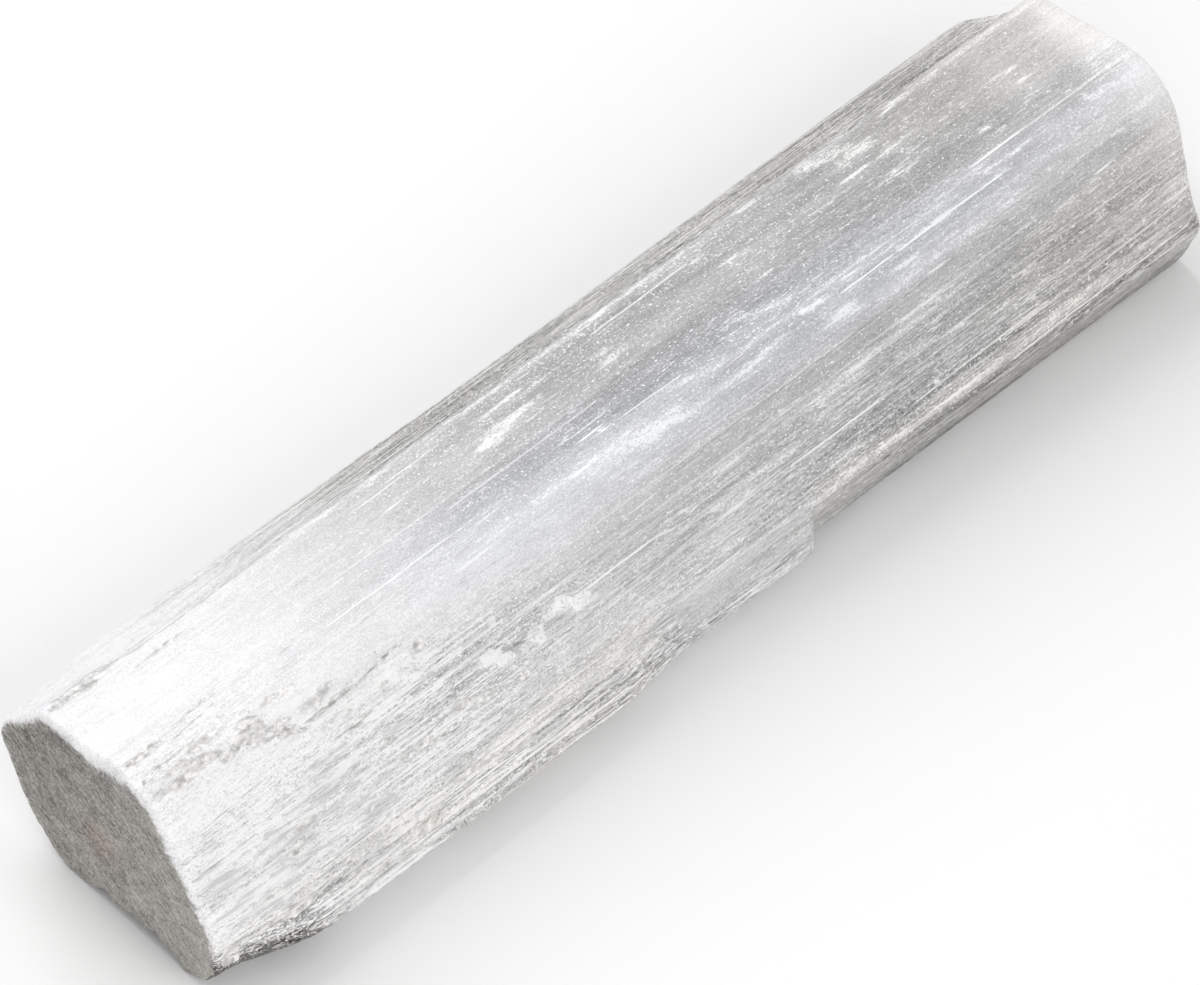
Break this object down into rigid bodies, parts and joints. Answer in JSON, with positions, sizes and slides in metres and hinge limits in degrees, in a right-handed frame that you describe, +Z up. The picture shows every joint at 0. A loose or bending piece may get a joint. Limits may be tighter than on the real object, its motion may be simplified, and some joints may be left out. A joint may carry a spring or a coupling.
{
  "type": "selenite log",
  "caption": "Fibrous satin spar gypsum log, sawn square at both ends and split along its fibres, resting on a flat cleavage face",
  "frame": {"origin": "centre of the bounding box in plan, on the resting plane", "axes": "+X runs along the fibres, towards the end where the left cleavage slab has broken off; +Z is up from the flat cleavage face that the log rests on; +Y is left when looking along +X"},
  "size_m": [0.1514, 0.04, 0.0268],
  "materials": {
    "selenite": "satin"
  },
  "bodies": {
    "root": {"selenite_log": "selenite"}
  },
  "joints": []
}
